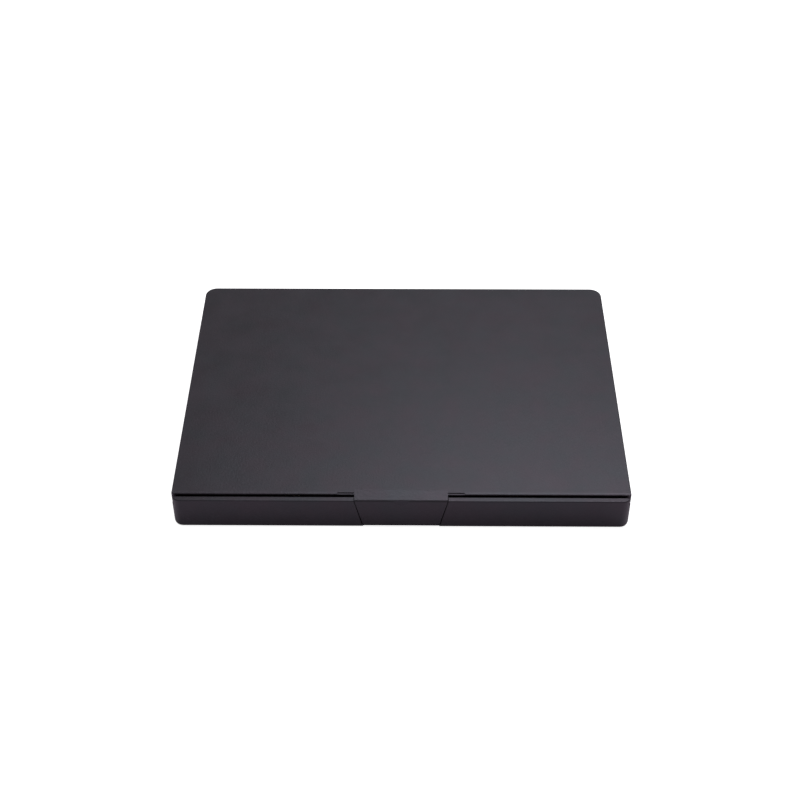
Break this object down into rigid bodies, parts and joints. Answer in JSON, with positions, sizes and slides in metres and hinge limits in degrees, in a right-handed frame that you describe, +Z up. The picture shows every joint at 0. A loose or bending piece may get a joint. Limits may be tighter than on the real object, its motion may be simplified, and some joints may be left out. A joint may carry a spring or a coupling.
{
  "type": "eyeshadow palette",
  "caption": "Flat black plastic make-up palette: hinged lid with a mirror and a fold-over front flap, over a tray of round powder pans and an applicator.",
  "frame": {"origin": "centre of the bounding box on the underside, hinge knuckles included", "axes": "+X along the width to the user's right, -Y towards the front flap, +Z up through the lid"},
  "size_m": [0.2, 0.1504, 0.0182],
  "materials": {
    "case_plastic": "matt black moulded plastic",
    "tray_plastic": "satin black moulded plastic",
    "pan_metal": "drawn bright metal",
    "pin_steel": "drawn steel wire",
    "mirror": "silvered glass",
    "mirror_tape": "double-sided adhesive foam",
    "handle_plastic": "gloss black",
    "ferrule_metal": "polished aluminium",
    "sponge": "flocked foam",
    "powder_a1": "pressed powder",
    "powder_a2": "pressed powder",
    "powder_a3": "pressed powder",
    "powder_a4": "pressed powder",
    "powder_a5": "pressed powder",
    "powder_a6": "pressed powder",
    "powder_b1": "pressed powder",
    "powder_b2": "pressed powder",
    "powder_b3": "pressed powder",
    "powder_b4": "pressed powder",
    "powder_b5": "pressed powder",
    "powder_b6": "pressed powder",
    "powder_c1": "pressed powder",
    "powder_c2": "pressed powder",
    "powder_c3": "pressed powder",
    "powder_c4": "pressed powder",
    "powder_c5": "pressed powder",
    "powder_c6": "pressed powder",
    "powder_d1": "pressed powder",
    "powder_d2": "pressed powder",
    "powder_d3": "pressed powder",
    "powder_d4": "pressed powder",
    "powder_d5": "pressed powder",
    "powder_d6": "pressed powder"
  },
  "bodies": {
    "base": {"base_shell": "case_plastic", "pan_tray": "tray_plastic", "hinge_pin_left": "pin_steel", "hinge_pin_right": "pin_steel", "applicator_handle": "handle_plastic", "applicator_ferrules": "ferrule_metal", "applicator_sponge_left": "sponge", "applicator_sponge_right": "sponge", "pan_a1": "pan_metal", "pan_a2": "pan_metal", "pan_a3": "pan_metal", "pan_a4": "pan_metal", "pan_a5": "pan_metal", "pan_a6": "pan_metal", "pan_b1": "pan_metal", "pan_b2": "pan_metal", "pan_b3": "pan_metal", "pan_b4": "pan_metal", "pan_b5": "pan_metal", "pan_b6": "pan_metal", "pan_c1": "pan_metal", "pan_c2": "pan_metal", "pan_c3": "pan_metal", "pan_c4": "pan_metal", "pan_c5": "pan_metal", "pan_c6": "pan_metal", "pan_d1": "pan_metal", "pan_d2": "pan_metal", "pan_d3": "pan_metal", "pan_d4": "pan_metal", "pan_d5": "pan_metal", "pan_d6": "pan_metal", "powder_a1": "powder_a1", "powder_a2": "powder_a2", "powder_a3": "powder_a3", "powder_a4": "powder_a4", "powder_a5": "powder_a5", "powder_a6": "powder_a6", "powder_b1": "powder_b1", "powder_b2": "powder_b2", "powder_b3": "powder_b3", "powder_b4": "powder_b4", "powder_b5": "powder_b5", "powder_b6": "powder_b6", "powder_c1": "powder_c1", "powder_c2": "powder_c2", "powder_c3": "powder_c3", "powder_c4": "powder_c4", "powder_c5": "powder_c5", "powder_c6": "powder_c6", "powder_d1": "powder_d1", "powder_d2": "powder_d2", "powder_d3": "powder_d3", "powder_d4": "powder_d4", "powder_d5": "powder_d5", "powder_d6": "powder_d6"},
    "lid": {"lid_shell": "case_plastic", "mirror": "mirror", "mirror_tape": "mirror_tape"}
  },
  "joints": [
    {"name": "lid_hinge", "type": "hinge", "parent": "base", "child": "lid", "pos_m": [0, 0.07283, 0.011], "axis": [-1, 0, 0], "range_deg": [0, 120]}
  ]
}
